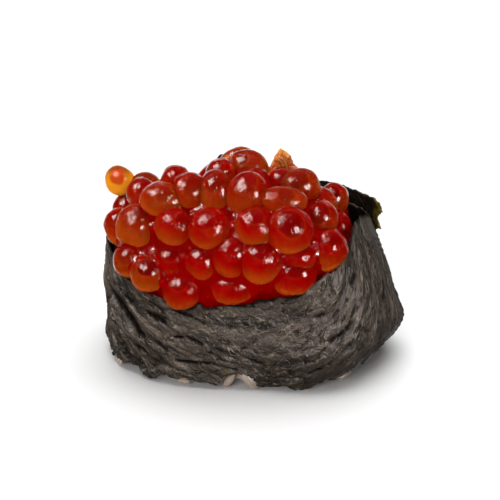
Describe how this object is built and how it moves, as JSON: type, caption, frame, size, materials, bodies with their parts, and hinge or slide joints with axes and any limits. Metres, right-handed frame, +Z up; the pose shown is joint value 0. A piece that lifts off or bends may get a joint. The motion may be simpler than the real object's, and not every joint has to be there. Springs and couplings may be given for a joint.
{
  "type": "gunkan sushi",
  "caption": "Oval gunkan sushi: a bed of rice wrapped in a creased nori band that overlaps at the back, heaped with glossy salmon roe, one pale egg and a torn egg skin.",
  "frame": {"origin": "middle of the flat spot under the rice, on the surface that the sushi stands on", "axes": "+Z up, X along the oval's long side with the overlapping nori end towards +X, -Y the display side with the low rim"},
  "size_m": [0.0584, 0.0393, 0.0402],
  "materials": {
    "rice": "moist pressed sushi rice, off-white and slightly translucent, with separate grains",
    "nori": "damp roasted seaweed sheet, near-black with brown and olive fibres, creased, satin",
    "roe": "wet translucent salmon eggs, deep red with orange lower rims, mirror-like highlights",
    "pale_roe": "wet translucent amber egg with an orange-red spot",
    "egg_skin": "thin wet crumpled egg skin, amber with a yellowish tip"
  },
  "bodies": {
    "root": {"rice_bed": "rice", "nori_wrap": "nori", "roe_heap": "roe", "pale_egg": "pale_roe", "torn_skin": "egg_skin"}
  },
  "joints": []
}
